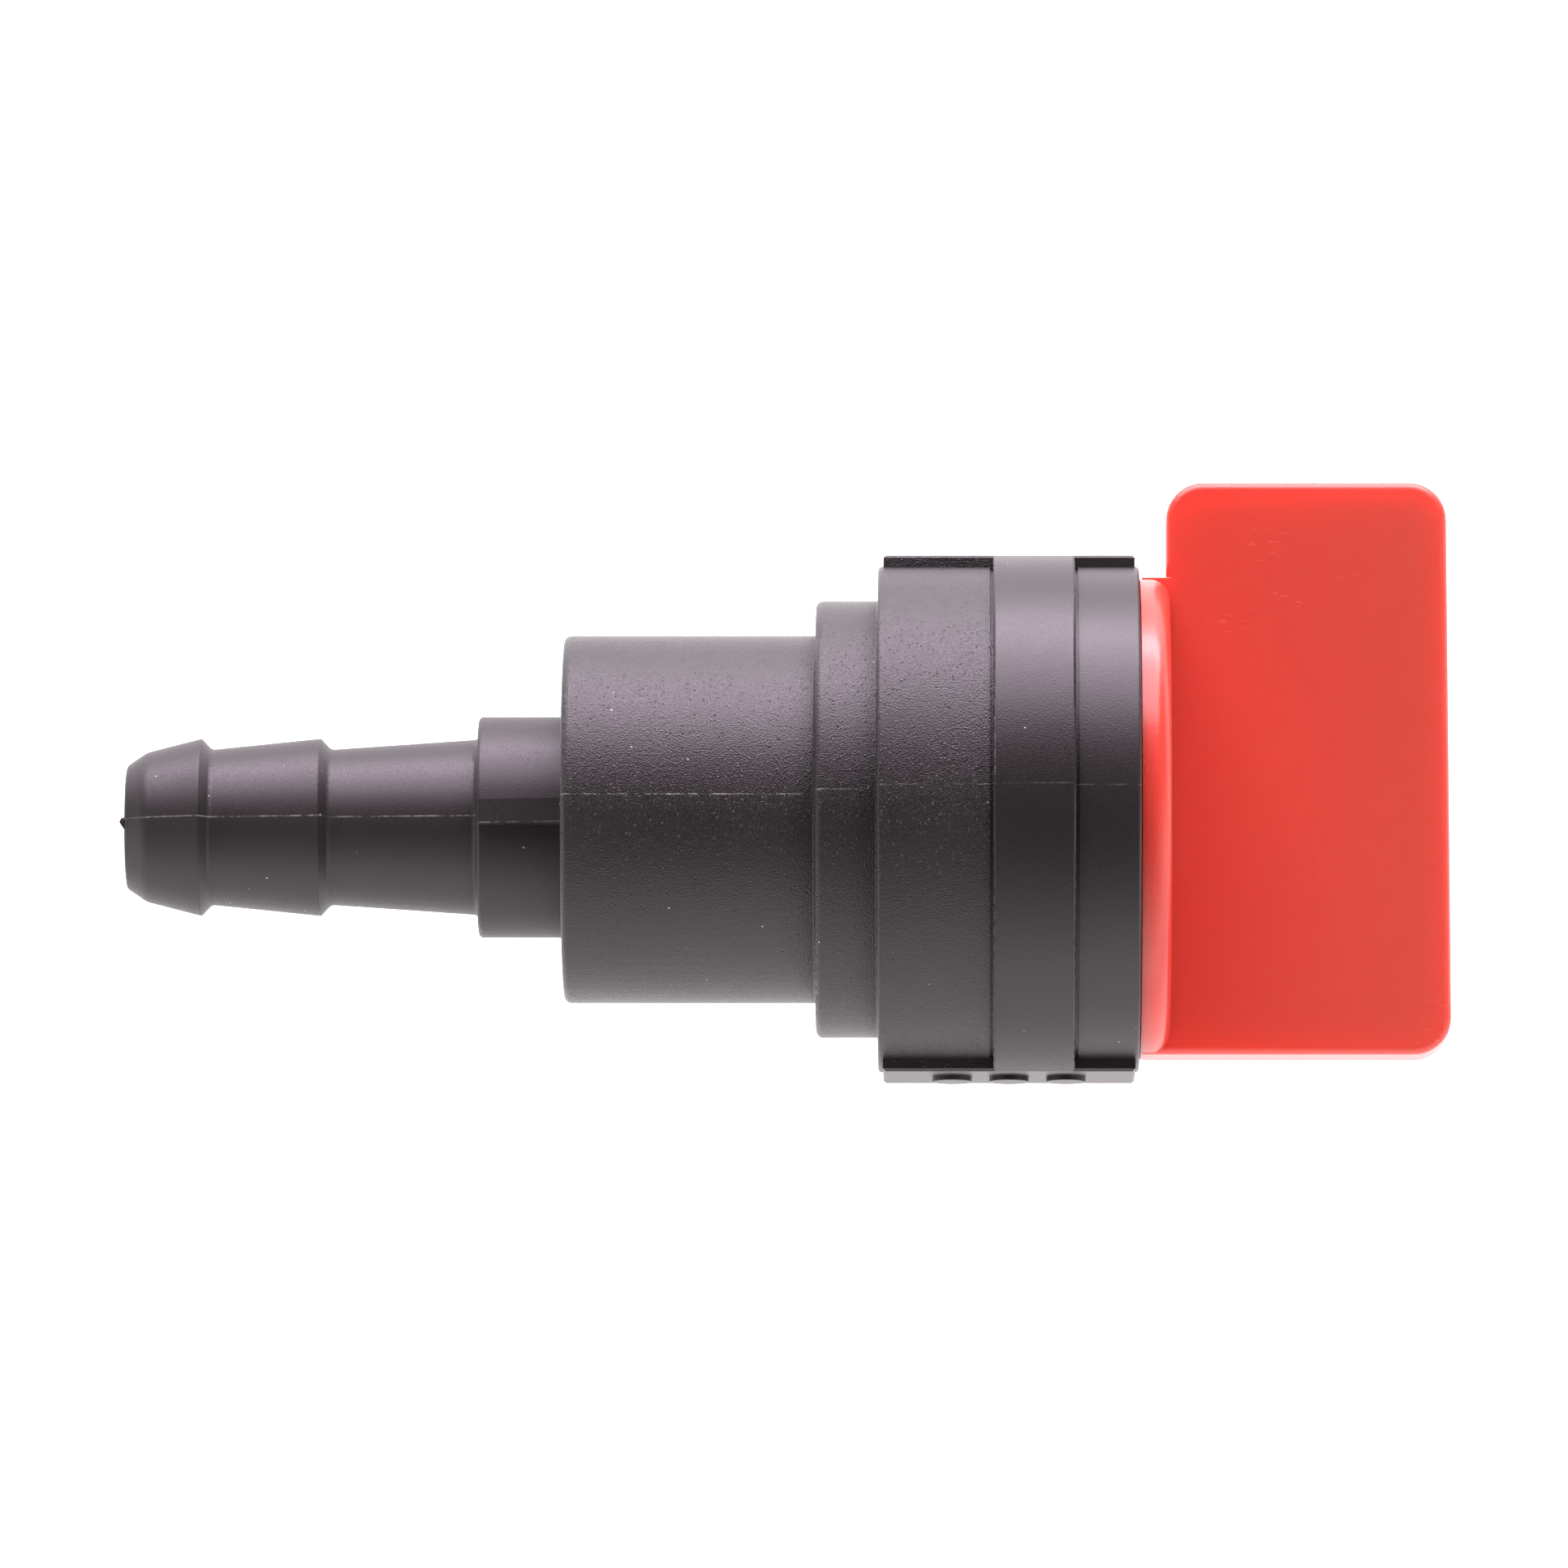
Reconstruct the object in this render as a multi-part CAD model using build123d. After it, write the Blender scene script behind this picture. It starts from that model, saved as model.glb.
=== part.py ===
from build123d import *
import os

os.makedirs("parts", exist_ok=True)

# A small moulded hose tap. Turning the handle half a turn swings a rubber pad, which is set
# off centre in a rotor, on or off the end of the inlet port. The side outlet is always open
# to the chamber that the rotor turns in.
#
# Frame: X runs along the stem, from the inlet barb (-X) to the handle (+X). The outlet barb
# points straight down (-Z), and the origin is where its axis crosses the stem's axis. The two
# marked flats of the head face +Y (open) and -Y (closed). The tap is drawn open.

# ---- driving dimensions, in millimetres ----

# Hose barbs. Both are the same form, for a soft hose of 6.35 mm bore.
barb_length = 15.30
barb_bore_radius = 1.9
barb_tip_radius = 2.66
barb_tip_round = 0.25
barb_nose_length = 0.86
barb_nose_radius = 3.25
barb_nose_round = 1.0
crest_1_at = 3.24
crest_2_at = 8.42
crest_radius = 3.86
crest_round = 0.08
crest_back_run = 0.45
valley_radius = 3.38
valley_round = 0.3
neck_radius = 3.82
neck_round = 0.25
collar_radius = 4.80
collar_length = 3.78
collar_round = 0.2
inlet_drop = 2.5

# Body, from the inlet end to the open end of the head.
barrel_start = -5.38
barrel_end = 5.50
barrel_radius = 7.94
ring_end = 8.18
ring_radius = 9.44
head_end = 19.43
head_radius = 10.93
band_start = 13.14
band_end = 16.65
band_radius = 11.43
band_groove_width = 0.14
band_groove_depth = 0.12
barrel_round = 0.3
head_round = 0.15
step_round = 0.1

# The two marked flats of the head, and the raised marks on them.
flat_start = 8.40
flat_end = 19.25
flat_height = 11.22
flat_width = 4.6
flat_chamfer = 0.12
mark_height = 0.2
dot_radius = 0.85
dot_pitch = 2.45
bar_length = 6.4

# The low rib that ties the inlet collar to the end of the barrel.
rib_width = 1.05
rib_low = 2.68
rib_high = 3.15
rib_round = 0.5

# Stub left by the mould's gate on the rim of the inlet's tip.
gate_height = 0.2
gate_width = 1.15
gate_depth = 0.7
gate_buried = 0.4

# Chamber, seat and cup inside the body.
chamber_floor = -4.0
chamber_radius = 6.0
port_radius = 1.6
port_start = -5.6
seat_lip_radius = 2.0
seat_lip_height = 0.35
cup_floor = 9.40
cup_radius = 9.30
groove_start = 14.00
groove_end = 15.90
groove_radius = 10.10

# Half-turn stop: a long rib in the cup, and a lug under the handle's skirt.
turn_range = 180
stop_lug_angle = 30
stop_play_angle = 0.5
stop_top = 11.0
stop_inner_radius = 6.95

# Rotor.
rotor_clearance = 0.06
piston_start = 2.4
piston_end = 9.30
carrier_radius = 3.1
carrier_face = -3.25
pocket_radius = 2.25
pocket_end = 3.0
drive_radius = 4.0
drive_flat = 2.9
drive_end = 16.5
drive_clearance = 0.05
rotor_chamfer = 0.3

# Seals: a flat pad over the port, and two O-rings round the rotor.
pad_radius = 2.2
pad_thickness = 1.5
pad_round = 0.15
seal_gap = 0.02
ring_groove_radius = 4.65
ring_groove_width = 1.9
ring_groove_starts = {"lower_o_ring": 3.55, "upper_o_ring": 6.70}
o_ring_width = 1.64

# Spring behind the pad.
wire_diameter = 0.4
spring_mean_radius = 1.7
spring_turns = 5

# Thrust washer under the handle.
washer_inner_radius = 4.6
washer_outer_radius = 6.8
washer_thickness = 0.6
washer_chamfer = 0.08

# Handle.
hub_radius = 6.6
skirt_inner_radius = 8.0
skirt_start = 11.2
handle_clearance = 0.08
snap_start = 14.15
snap_end = 15.65
snap_radius = 10.0
slot_width = 1.2
slot_end = 17.5
slot_count = 6
lug_clearance = 0.1
disc_gap = 0.05
disc_radius = 10.38
disc_end = 20.74
disc_round = 0.8
paddle_left = 20.62
paddle_end = 32.87
paddle_end_lean = 0.13
paddle_low = -10.36
paddle_high = 14.56
paddle_thickness = 2.8
paddle_corner = 1.62
paddle_edge_round = 0.35

# How far one feature reaches into the next, so that they join into one solid.
overlap = 0.1

# ---- sizes that follow from them ----

outlet_reach = barrel_radius + collar_length + barb_length
inlet_tip = barrel_start - collar_length - barb_length
pad_face = chamber_floor + seat_lip_height + seal_gap
pad_back = pad_face + pad_thickness
band_groove_radius = head_radius - band_groove_depth
piston_radius = chamber_radius - rotor_clearance
skirt_radius = cup_radius - handle_clearance
hub_start = cup_floor + washer_thickness + seal_gap
disc_start = head_end + disc_gap


def turned(points, roundings=None, angle=360):
    """Solid of revolution about X through (x, radius) points, from +Y towards +Z."""
    if roundings:
        outline = FilletPolyline(*points, radius=roundings, close=True)
    else:
        outline = Polyline(*points, close=True)
    return revolve(make_face(outline), Axis.X, angle)


def tube(start, end, outer, inner=0.0):
    """Plain cylinder along X, or a ring if it has an inner radius."""
    return turned([(start, inner), (end, inner), (end, outer), (start, outer)])


def barb():
    """Barb and collar along X, with the tip at X = 0, without its bore."""
    collar_end = barb_length + collar_length
    buried = 1.0
    corners = [
        ((0.0, 0.0), 0),
        ((0.0, barb_tip_radius), barb_tip_round),
        ((barb_nose_length, barb_nose_radius), barb_nose_round),
        ((crest_1_at, crest_radius), crest_round),
        ((crest_1_at + crest_back_run, valley_radius), valley_round),
        ((crest_2_at, crest_radius), crest_round),
        ((crest_2_at + crest_back_run, valley_radius), valley_round),
        ((barb_length, neck_radius), neck_round),
        ((barb_length, collar_radius), collar_round),
        ((collar_end + buried, collar_radius), 0),
        ((collar_end + buried, 0.0), 0),
    ]
    return turned([point for point, _ in corners], [rounding for _, rounding in corners])


def head_flat(side):
    """One flat pad of the head, on the +Y side (1) or the -Y side (-1)."""
    length = flat_end - flat_start
    depth = flat_height - groove_radius
    middle = (flat_start + flat_end) / 2
    pad = Pos(middle, side * (flat_height - depth / 2), 0) * Box(length, depth, flat_width)
    return chamfer(pad.faces().sort_by(Axis.Y)[-1 if side > 0 else 0].edges(), flat_chamfer)


def marks():
    """Raised marks on the flats: three dots where the tap is closed, one bar where it is open."""
    middle = (flat_start + flat_end) / 2
    dots = [middle + step * dot_pitch for step in (-1, 0, 1)]
    dot = Rot(90, 0, 0) * Cylinder(dot_radius, 2 * mark_height)
    bar = Rot(90, 0, 0) * extrude(SlotOverall(bar_length, 2 * dot_radius), mark_height, both=True)
    shapes = [Pos(x, -flat_height, 0) * dot for x in dots]
    shapes.append(Pos(middle, flat_height, 0) * bar)
    return shapes


def gate_stub():
    """Small uneven stub on the tip of the inlet barb, on the side away from the outlet."""
    outline = Polyline(
        (inlet_tip + gate_buried, -0.85 * gate_width),
        (inlet_tip - gate_height, -0.1 * gate_width),
        (inlet_tip - 0.6 * gate_height, 0.04 * gate_width),
        (inlet_tip + gate_buried, 0.15 * gate_width),
        close=True,
    )
    stub = extrude(make_face(outline), gate_depth / 2, both=True)
    rim_middle = (barb_bore_radius + barb_tip_radius) / 2 - inlet_drop
    return Pos(0, 0, rim_middle) * stub


def body_outside():
    """Everything that shows of the body, still solid inside."""
    corners = [
        ((barrel_start, 0.0), 0),
        ((barrel_start, barrel_radius), barrel_round),
        ((barrel_end, barrel_radius), step_round),
        ((barrel_end, ring_radius), barrel_round),
        ((ring_end, ring_radius), step_round),
        ((ring_end, head_radius), head_round),
        ((band_start - band_groove_width, head_radius), 0),
        ((band_start - band_groove_width, band_groove_radius), 0),
        ((band_start, band_groove_radius), 0),
        ((band_start, band_radius), step_round),
        ((band_end, band_radius), step_round),
        ((band_end, band_groove_radius), 0),
        ((band_end + band_groove_width, band_groove_radius), 0),
        ((band_end + band_groove_width, head_radius), 0),
        ((head_end, head_radius), head_round),
        ((head_end, 0.0), 0),
    ]
    outside = turned([point for point, _ in corners], [rounding for _, rounding in corners])
    for side in (1, -1):
        outside += head_flat(side)
        spare = Pos((flat_start + flat_end) / 2, side * (flat_height + 1), 0)
        outside -= spare * Box(head_end - ring_end + 2, 2, 2 * flat_width)
    outside += Pos(inlet_tip, 0, -inlet_drop) * barb()
    outside += Pos(0, 0, -outlet_reach) * Rot(0, -90, 0) * barb()
    rib_start = barrel_start - collar_length + overlap
    rib_outline = Polyline(
        (rib_start, 0),
        (barrel_start + 0.5, 0),
        (barrel_start + 0.5, rib_high),
        (rib_start, rib_low),
        close=True,
    )
    rib_plane = Plane(origin=(0, 0, 0), x_dir=(1, 0, 0), z_dir=(0, -1, 0))
    rib = extrude(rib_plane * make_face(rib_outline), rib_width / 2, both=True)
    rib_edge = rib.edges().filter_by(lambda edge: edge.center().Z > 1).sort_by(Axis.Y)[-1]
    outside += fillet(rib_edge, rib_round)
    outside += gate_stub()
    for mark in marks():
        outside += mark
    return outside


def valve_body():
    """Moulded body: two barbs, the chamber with its seat, and the cup that the handle snaps into."""
    body = body_outside()
    body -= tube(cup_floor, head_end + 1, cup_radius)
    body -= tube(groove_start, groove_end, groove_radius)
    body -= tube(chamber_floor, cup_floor + 1, chamber_radius)
    inlet = Pos(0, 0, -inlet_drop)
    body += inlet * tube(chamber_floor - overlap, chamber_floor + seat_lip_height, seat_lip_radius)
    body -= inlet * tube(inlet_tip - 1, port_start, barb_bore_radius)
    body -= inlet * tube(port_start - overlap, 0, port_radius)
    bore_length = outlet_reach - chamber_radius / 2
    outlet_middle = -(outlet_reach + chamber_radius / 2) / 2
    body -= Pos(0, 0, outlet_middle - 0.5) * Cylinder(barb_bore_radius, bore_length + 1)
    stop_arc = 360 - turn_range - stop_lug_angle
    stop_outline = [
        (cup_floor - overlap, stop_inner_radius),
        (stop_top, stop_inner_radius),
        (stop_top, cup_radius + overlap),
        (cup_floor - overlap, cup_radius + overlap),
    ]
    body += Rot(stop_lug_angle / 2, 0, 0) * turned(stop_outline, angle=stop_arc)
    return body


def rotor():
    """Rotor: an off-centre carrier for the pad, a piston with two O-ring grooves, and a D drive."""
    carrier = Pos(0, 0, inlet_drop) * tube(carrier_face, piston_start + 0.5, carrier_radius)
    piston = tube(piston_start, piston_end, piston_radius)
    for start in ring_groove_starts.values():
        piston -= tube(start, start + ring_groove_width, piston_radius + 1, ring_groove_radius)
    piston = chamfer(piston.edges().sort_by(Axis.X)[0], rotor_chamfer)
    drive = tube(piston_end - 0.5, drive_end, drive_radius)
    drive -= drive_flat_cut(drive_flat, piston_end, drive_end + 1)
    drive = chamfer(drive.faces().sort_by(Axis.X)[-1].edges(), rotor_chamfer)
    pocket = Pos(0, 0, inlet_drop) * tube(carrier_face - 1, pocket_end, pocket_radius)
    return carrier + piston + drive - pocket


def drive_flat_cut(height, start, end):
    """Block that cuts the flat of the D drive, above the given height in Z."""
    block = Box(end - start, 4 * drive_radius, 2 * drive_radius)
    return Pos((start + end) / 2, 0, height + drive_radius) * block


def port_seal():
    """Flat rubber pad in the mouth of the rotor's pocket."""
    pad = Pos(0, 0, inlet_drop) * tube(pad_face, pad_back, pad_radius)
    return fillet(pad.edges().sort_by(Axis.X)[0], pad_round)


def seal_spring():
    """Compression spring between the pad and the end of the pocket, with its ends at rest on both."""
    wire_radius = wire_diameter / 2
    length = pocket_end - pad_back - wire_diameter
    coil = Helix(length / spring_turns, length, spring_mean_radius)
    section = Plane(origin=coil @ 0, z_dir=coil % 0) * Circle(wire_radius)
    spring = sweep(section, path=coil, is_frenet=True)
    return Pos(pad_back + wire_radius, 0, inlet_drop) * Rot(0, 90, 0) * spring


def o_ring(groove_start_x):
    """O-ring in its groove, already squeezed to an oval between the rotor and the chamber."""
    outer = chamber_radius - seal_gap
    height = outer - ring_groove_radius
    middle = groove_start_x + ring_groove_width / 2
    section = Pos(middle, (outer + ring_groove_radius) / 2) * SlotOverall(o_ring_width, height)
    return revolve(section, Axis.X)


def thrust_washer():
    """Flat washer between the handle's hub and the floor of the cup."""
    washer = tube(cup_floor, cup_floor + washer_thickness, washer_outer_radius, washer_inner_radius)
    return chamfer(washer.edges(), washer_chamfer)


def paddle():
    """Upright plate of the handle, longer on the side that points to the marks."""
    start = disc_start + overlap
    outline = FilletPolyline(
        (start, paddle_low),
        (paddle_end, paddle_low),
        (paddle_end - paddle_end_lean, paddle_high),
        (paddle_left, paddle_high),
        (paddle_left, disc_radius),
        (start, disc_radius),
        radius=[0, paddle_corner, paddle_corner, paddle_corner, 0, 0],
        close=True,
    )
    plate = extrude(make_face(outline), paddle_thickness / 2, both=True)
    rims = plate.edges().filter_by(lambda edge: abs(abs(edge.center().Z) - paddle_thickness / 2) < 1e-6)
    outer_rims = rims.filter_by(lambda edge: edge.center().X > paddle_left - overlap and edge.length > 0.5)
    return fillet(outer_rims, paddle_edge_round)


def handle():
    """Handle: paddle, disc, hub with the D socket, and the slotted skirt that snaps into the head."""
    disc_corners = [
        ((disc_start, 0.0), 0),
        ((disc_start, disc_radius), 0),
        ((disc_end, disc_radius), disc_round),
        ((disc_end, 0.0), 0),
    ]
    disc = turned([point for point, _ in disc_corners], [rounding for _, rounding in disc_corners])
    hub = tube(hub_start, disc_start + overlap, hub_radius)
    skirt = turned([
        (skirt_start, skirt_inner_radius),
        (disc_start + overlap, skirt_inner_radius),
        (disc_start + overlap, skirt_radius),
        (snap_end, skirt_radius),
        (snap_end, snap_radius),
        (snap_end - 0.5, snap_radius),
        (snap_start, skirt_radius),
        (skirt_start, skirt_radius),
    ])
    for step in range(slot_count):
        slot_length = slot_end - skirt_start + 1
        slot = Pos(slot_end - slot_length / 2, snap_radius, 0) * Box(slot_length, 6, slot_width)
        skirt -= Rot((step + 0.5) * 360 / slot_count, 0, 0) * slot
    lug_arc = stop_lug_angle - 2 * stop_play_angle
    lug_outline = [
        (cup_floor + 2 * lug_clearance, stop_inner_radius + lug_clearance),
        (skirt_start + overlap, stop_inner_radius + lug_clearance),
        (skirt_start + overlap, skirt_radius - lug_clearance),
        (cup_floor + 2 * lug_clearance, skirt_radius - lug_clearance),
    ]
    lug = Rot(-lug_arc / 2, 0, 0) * turned(lug_outline, angle=lug_arc)
    socket = tube(hub_start - 1, drive_end, drive_radius + drive_clearance)
    socket -= drive_flat_cut(drive_flat + drive_clearance, hub_start - 2, drive_end + 1)
    return disc + hub + skirt + lug + paddle() - socket


nodes = {
    "valve_body": valve_body(),
    "handle": handle(),
    "rotor": rotor(),
    "port_seal": port_seal(),
    "seal_spring": seal_spring(),
    "thrust_washer": thrust_washer(),
}
for ring_name, ring_start in ring_groove_starts.items():
    nodes[ring_name] = o_ring(ring_start)

for node_name, shape in nodes.items():
    export_step(shape, f"parts/{node_name}.step")
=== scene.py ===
import math

import bpy
from mathutils import Matrix, Vector


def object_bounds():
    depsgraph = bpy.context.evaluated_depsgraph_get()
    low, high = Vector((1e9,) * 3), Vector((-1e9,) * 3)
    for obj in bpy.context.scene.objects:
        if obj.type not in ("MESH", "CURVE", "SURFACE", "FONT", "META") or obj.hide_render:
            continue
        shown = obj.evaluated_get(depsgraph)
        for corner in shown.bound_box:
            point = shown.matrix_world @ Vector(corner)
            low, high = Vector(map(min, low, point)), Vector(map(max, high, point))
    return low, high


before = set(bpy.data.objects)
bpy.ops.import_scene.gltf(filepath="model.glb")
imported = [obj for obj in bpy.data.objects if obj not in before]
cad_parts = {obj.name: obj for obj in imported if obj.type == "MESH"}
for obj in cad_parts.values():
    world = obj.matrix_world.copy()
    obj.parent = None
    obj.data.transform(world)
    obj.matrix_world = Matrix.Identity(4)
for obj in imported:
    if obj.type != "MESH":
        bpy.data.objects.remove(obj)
cad_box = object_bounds()

MM = 0.001
scene = bpy.context.scene
scene.view_settings.view_transform = "Standard"
scene.view_settings.look = "None"

# ---- places on the tap, for materials that change along it ----

COLLAR_START = -9.2 * MM
BARREL_START = -5.4 * MM
STEP_RING_START = 5.6 * MM
BAND_START = 13.1 * MM
OUTLET_TOP = -7.9 * MM
OUTLET_RIGHT_SIDE = 5.2 * MM
RIB_SIDE = 0.49 * MM
PADDLE_START = 20 * MM
PADDLE_END = 33 * MM

# ---- how the tap lies in front of the camera, and the studio round it ----

ROLL = math.radians(8.0)
YAW = math.radians(0.75)
CAMERA_DISTANCE = 0.6
WIDTH_SEEN = 67.8 * MM
AIM_ALONG = 4.1 * MM
AIM_UP = 1.54 * MM
TABLE_HALF_WIDTH = 6.0
LIGHT_DISTANCE = 0.6
LIGHT_LENGTH = 0.8
LIGHT_COLOUR = (0.98, 0.885, 1.0)

TO_CAMERA = Vector((0, -math.sin(ROLL), math.cos(ROLL)))
PICTURE_UP = Vector((0, math.cos(ROLL), math.sin(ROLL)))
ALONG = Vector((1, 0, 0))


class Nodes:
    """One node tree, with short calls to add and link nodes."""

    def __init__(self, owner, coordinates, shader):
        owner.use_nodes = True
        self.owner = owner
        self.tree = owner.node_tree
        self.shader = self.tree.nodes[shader]
        self.position = self.add("ShaderNodeTexCoord").outputs[coordinates]

    def add(self, kind, inputs=None, **settings):
        node = self.tree.nodes.new(kind)
        for key, value in settings.items():
            setattr(node, key, value)
        for key, value in (inputs or {}).items():
            self.put(node.inputs[key], value)
        return node

    def put(self, socket, value):
        if isinstance(value, bpy.types.NodeSocket):
            self.tree.links.new(value, socket)
        else:
            socket.default_value = value

    def shade(self, **inputs):
        """Set or link the shader's inputs, named with underscores for spaces."""
        for name, value in inputs.items():
            self.put(self.shader.inputs[name.replace("_", " ")], value)

    def split(self):
        return self.add("ShaderNodeSeparateXYZ", {"Vector": self.position}).outputs

    def math(self, operation, *values, clamp=False):
        node = self.add("ShaderNodeMath", operation=operation, use_clamp=clamp)
        for socket, value in zip(node.inputs, values):
            self.put(socket, value)
        return node.outputs[0]

    def product(self, first, *others):
        for other in others:
            first = self.math("MULTIPLY", first, other)
        return first

    def total(self, first, *others):
        for other in others:
            first = self.math("ADD", first, other)
        return first

    def remap(self, value, low, high, to_low=0.0, to_high=1.0):
        """Carry low..high over to to_low..to_high, clamped at both ends."""
        limits = {"From Min": low, "From Max": high, "To Min": to_low, "To Max": to_high}
        return self.add("ShaderNodeMapRange", {"Value": value, **limits}).outputs["Result"]

    def noise(self, size_mm, detail=2.0, rough=0.5, stretch=None):
        """Noise whose features are about size_mm across."""
        where = self.position
        if stretch:
            where = self.add("ShaderNodeMapping", {"Vector": where, "Scale": stretch}).outputs[0]
        inputs = {"Vector": where, "Scale": 1 / (size_mm * MM), "Detail": detail, "Roughness": rough}
        return self.add("ShaderNodeTexNoise", inputs).outputs["Fac"]

    def specks(self, pitch_mm, radius_mm, share):
        """1 inside sparse round specks, 0 elsewhere. share is how many cells hold one."""
        cells = self.add("ShaderNodeTexVoronoi", {"Vector": self.position, "Scale": 1 / (pitch_mm * MM)})
        edge = radius_mm / pitch_mm
        near = self.remap(cells.outputs["Distance"], edge, 0.4 * edge)
        chosen = self.add("ShaderNodeSeparateColor", {"Color": cells.outputs["Color"]}).outputs["Red"]
        return self.math("MULTIPLY", near, self.math("LESS_THAN", chosen, share), clamp=True)

    def mix(self, amount, first, second):
        node = self.add("ShaderNodeMix", data_type="RGBA")
        amount_socket, first_socket, second_socket = node.inputs[0], node.inputs[6], node.inputs[7]
        self.put(amount_socket, amount)
        self.put(first_socket, first)
        self.put(second_socket, second)
        return node.outputs[2]

    def bump(self, height, depth_mm, strength=1.0):
        inputs = {"Height": height, "Distance": depth_mm * MM, "Strength": strength}
        return self.add("ShaderNodeBump", inputs).outputs["Normal"]


def new_material(name):
    return Nodes(bpy.data.materials.new(name), "Object", "Principled BSDF")


# ---- materials ----

def barb_masks(n, along, height):
    """Where the surface is inlet barb or collar, and where it is outlet barb."""
    inlet = n.remap(along, BARREL_START - 0.1 * MM, BARREL_START, 1.0, 0.0)
    below = n.math("LESS_THAN", height, OUTLET_TOP)
    beside = n.math("LESS_THAN", along, OUTLET_RIGHT_SIDE)
    return inlet, n.product(below, beside)


def parting_flash_and_highlight(n, split, inlet):
    """Thin broken flash in the mould's split plane, partly real flash and partly a painted highlight for
    the light its edge catches; on the inlet collar it follows the tie rib's edge.
    """
    collar = n.product(n.math("GREATER_THAN", split["X"], COLLAR_START), inlet)
    on_rib = n.product(collar, n.math("GREATER_THAN", split["Z"], 0.0))
    from_split = n.math("ABSOLUTE", n.total(split["Y"], n.product(on_rib, RIB_SIDE)))
    line = n.remap(from_split, 0.042 * MM, 0.012 * MM)
    gaps = n.remap(n.noise(0.7, 3.0, 0.8), 0.42, 0.62)
    weaker_on_barrel = n.remap(split["X"], BARREL_START - 1.6 * MM, BARREL_START + 0.4 * MM, 1.0, 0.6)
    weaker_on_head = n.remap(split["X"], STEP_RING_START, STEP_RING_START + 0.6 * MM, 1.0, 0.45)
    weaker_on_rib = n.remap(on_rib, 0.0, 1.0, 1.0, 0.55)
    return n.product(line, gaps, weaker_on_barrel, weaker_on_head, weaker_on_rib)


def black_plastic():
    """Black moulding: spark-eroded grain from barrel to band, smoother barbs and band, and a parting line
    painted lighter, partly as whitish flash and partly as a painted highlight.
    """
    n = new_material("black_plastic")
    split = n.split()
    along = split["X"]
    inlet, outlet = barb_masks(n, along, split["Z"])
    barbs = n.math("MAXIMUM", inlet, outlet)
    grain_start = n.remap(along, BARREL_START - 0.1 * MM, BARREL_START + 0.15 * MM)
    grain_end = n.remap(along, BAND_START, BAND_START + 0.1 * MM, 1.0, 0.0)
    grainy = n.product(grain_start, grain_end, n.math("SUBTRACT", 1.0, outlet))
    fine = n.noise(0.06, 1.0)
    pits = n.noise(0.11, 2.0, 0.6)
    flash_and_highlight = parting_flash_and_highlight(n, split, inlet)
    glints = n.product(n.specks(0.17, 0.055, 0.35), grainy)

    patches = n.remap(n.noise(6.0), 0.3, 0.7)
    colour = n.mix(patches, (0.0095, 0.0073, 0.0071, 1), (0.0130, 0.0106, 0.0102, 1))
    dust = n.specks(0.8, 0.05, 0.20)
    colour = n.mix(dust, colour, (0.50, 0.43, 0.36, 1))
    # The flash line is painted lighter: partly whitish flash, partly a painted highlight where its edge
    # catches the light.
    colour = n.mix(n.product(flash_and_highlight, 0.4), colour, (0.42, 0.39, 0.34, 1))

    finish = n.remap(barbs, 0.0, 1.0, 0.39, 0.48)
    finish = n.total(finish, n.product(grainy, -0.03), n.product(glints, -0.18))
    finish = n.total(finish, n.remap(fine, 0.35, 0.65, 0.05, -0.07))

    height = n.total(fine, n.product(pits, 0.35), n.product(flash_and_highlight, 1.2), n.product(glints, 0.5))
    depth = n.total(n.remap(grainy, 0.0, 1.0, 0.3, 0.8), n.product(barbs, -0.15))
    n.shade(Base_Color=colour, Roughness=finish, Normal=n.bump(height, 0.042, depth))
    n.shade(Specular_IOR_Level=0.48, Specular_Tint=(1.0, 0.92, 0.97, 1))
    return n.owner


def red_plastic():
    """Red handle moulding, satin and slightly translucent, with a few short scratches and dark specks."""
    n = new_material("red_plastic")
    tone = n.noise(1.6, 1.0)
    scratches = n.remap(n.noise(0.6, stretch=(1.0, 5.0, 5.0)), 0.64, 0.74)
    scratched_places = n.remap(n.noise(4.0, 1.0), 0.62, 0.70)
    scratches = n.product(scratches, scratched_places)

    # Painted shading: the red is painted lighter near the disc, and darker and more orange towards the
    # paddle's end. This evens out the shade the disc casts and the extra light that reaches the far end.
    red_painted_lighter_near_disc = n.mix(tone, (0.618, 0.0500, 0.0320, 1), (0.632, 0.0525, 0.0340, 1))
    red_painted_darker_at_end = n.mix(tone, (0.530, 0.0640, 0.0430, 1), (0.543, 0.0670, 0.0450, 1))
    colour = n.mix(n.remap(n.split()["X"], PADDLE_START, PADDLE_END), red_painted_lighter_near_disc, red_painted_darker_at_end)
    colour = n.mix(n.product(scratches, 0.22), colour, (0.80, 0.26, 0.21, 1))
    dark_specks = n.specks(2.2, 0.06, 0.08)
    colour = n.mix(dark_specks, colour, (0.22, 0.02, 0.02, 1))

    finish = n.total(n.product(scratches, 0.12), 0.27)
    n.shade(Base_Color=colour, Roughness=finish, Normal=n.bump(n.noise(0.12, 1.0), 0.004))
    n.shade(Subsurface_Weight=0.7, Subsurface_Radius=(1.0, 0.22, 0.18), Subsurface_Scale=3.0 * MM)
    return n.owner


def dull_plastic(name, low, high, roughness):
    """Plain moulded plastic or rubber for the hidden pieces."""
    n = new_material(name)
    finish = n.remap(n.noise(0.3), 0.3, 0.7, roughness, roughness + 0.1)
    n.shade(Base_Color=n.mix(n.noise(2.0), low, high), Roughness=finish)
    n.shade(Normal=n.bump(n.noise(0.15), 0.003))
    return n.owner


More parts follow.
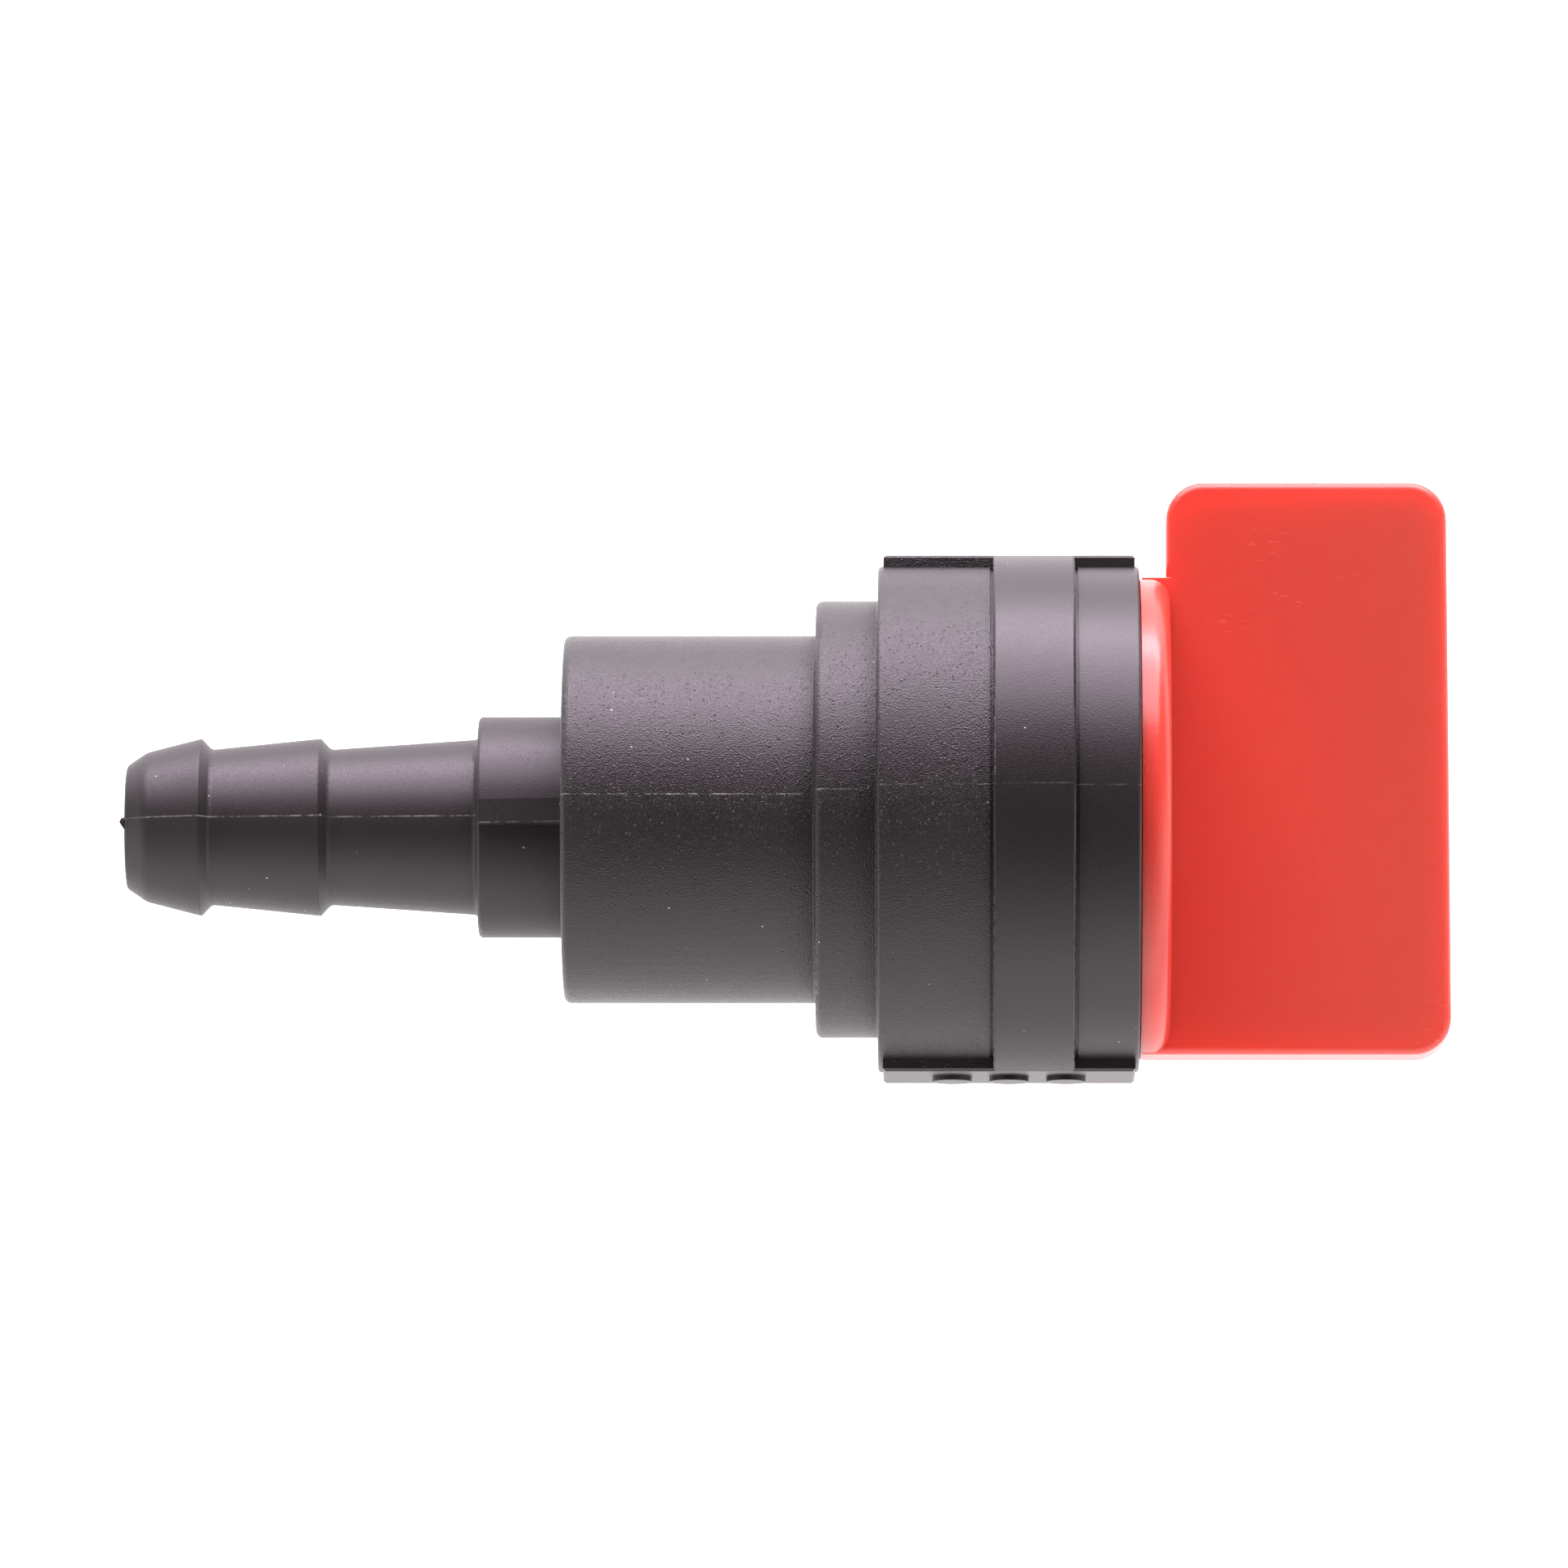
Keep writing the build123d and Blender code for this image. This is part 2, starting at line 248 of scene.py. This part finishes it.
def spring_steel():
    """Drawn stainless wire."""
    n = new_material("spring_steel")
    colour = n.mix(n.noise(0.4), (0.55, 0.55, 0.54, 1), (0.68, 0.68, 0.66, 1))
    n.shade(Base_Color=colour, Roughness=n.remap(n.noise(0.2), 0.3, 0.7, 0.22, 0.4), Metallic=1.0)
    return n.owner


def floor_material():
    """White table that glows a little, as an underlit product table does."""
    n = new_material("white_table")
    n.shade(Base_Color=(0.75, 0.75, 0.75, 1), Roughness=0.9, Specular_IOR_Level=0.1)
    n.shade(Emission_Color=(1, 1, 1, 1), Emission_Strength=0.92)
    return n.owner


def dress(node, material):
    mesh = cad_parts[node].data
    mesh.materials.clear()
    mesh.materials.append(material)


# ---- stage, camera and light ----

def make_floor():
    low = cad_box[0].z
    mesh = bpy.data.meshes.new("table_top")
    half = TABLE_HALF_WIDTH
    corners = [(-half, -half, low), (half, -half, low), (half, half, low), (-half, half, low)]
    mesh.from_pydata(corners, [], [(0, 1, 2, 3)])
    mesh.materials.append(floor_material())
    table = bpy.data.objects.new("table_top", mesh)
    scene.collection.objects.link(table)


def make_camera():
    target = ALONG * AIM_ALONG + PICTURE_UP * AIM_UP
    data = bpy.data.cameras.new("camera")
    data.lens = data.sensor_width * CAMERA_DISTANCE / WIDTH_SEEN
    data.clip_start = 0.01
    data.clip_end = 50
    camera = bpy.data.objects.new("camera", data)
    camera.location = target + CAMERA_DISTANCE * (TO_CAMERA + ALONG * math.tan(YAW))
    camera.rotation_mode = "QUATERNION"
    back = (camera.location - target).normalized()
    right = PICTURE_UP.cross(back).normalized()
    up = back.cross(right)
    camera.rotation_quaternion = Matrix((right, up, back)).transposed().to_quaternion()
    scene.collection.objects.link(camera)
    scene.camera = camera


def soft_light(name, angle, short_side, radiance):
    """Long soft light, turned by angle from the camera's side towards the top of the picture."""
    data = bpy.data.lights.new(name, "AREA")
    data.color = LIGHT_COLOUR
    data.shape = "RECTANGLE"
    data.size = LIGHT_LENGTH
    data.size_y = short_side
    data.energy = radiance * math.pi * LIGHT_LENGTH * short_side
    turn = math.radians(angle)
    direction = TO_CAMERA * math.cos(turn) + PICTURE_UP * math.sin(turn)
    light = bpy.data.objects.new(name, data)
    light.location = direction * LIGHT_DISTANCE
    light.rotation_mode = "QUATERNION"
    light.rotation_quaternion = direction.to_track_quat("Z", "Y")
    light.visible_camera = False
    scene.collection.objects.link(light)


def make_world():
    """Studio round the table: dark overhead, bright towards the horizon, mostly on the near side."""
    world = bpy.data.worlds.new("studio")
    n = Nodes(world, "Generated", "Background")
    split = n.split()
    low_sky = n.math("POWER", n.remap(split["Z"], 0.93, 0.1), 0.8)
    near_side = n.remap(split["Y"], -0.15, 0.25, 2.5, 0.15)
    overhead = 0.11
    n.shade(Color=(1, 1, 1, 1), Strength=n.total(n.product(low_sky, near_side), overhead))
    scene.world = world


rubber = dull_plastic("nitrile_rubber", (0.012, 0.012, 0.012, 1), (0.022, 0.021, 0.02, 1), 0.62)
acetal = dull_plastic("natural_acetal", (0.80, 0.79, 0.74, 1), (0.86, 0.85, 0.80, 1), 0.35)
nylon = dull_plastic("white_nylon", (0.74, 0.74, 0.70, 1), (0.80, 0.80, 0.76, 1), 0.4)
dress("valve_body", black_plastic())
dress("handle", red_plastic())
dress("rotor", acetal)
dress("thrust_washer", nylon)
dress("seal_spring", spring_steel())
for rubber_piece in ("port_seal", "lower_o_ring", "upper_o_ring"):
    dress(rubber_piece, rubber)

make_floor()
make_camera()
make_world()
soft_light("key", angle=70, short_side=0.46, radiance=6.9)
soft_light("key_low", angle=93, short_side=0.12, radiance=16.5)
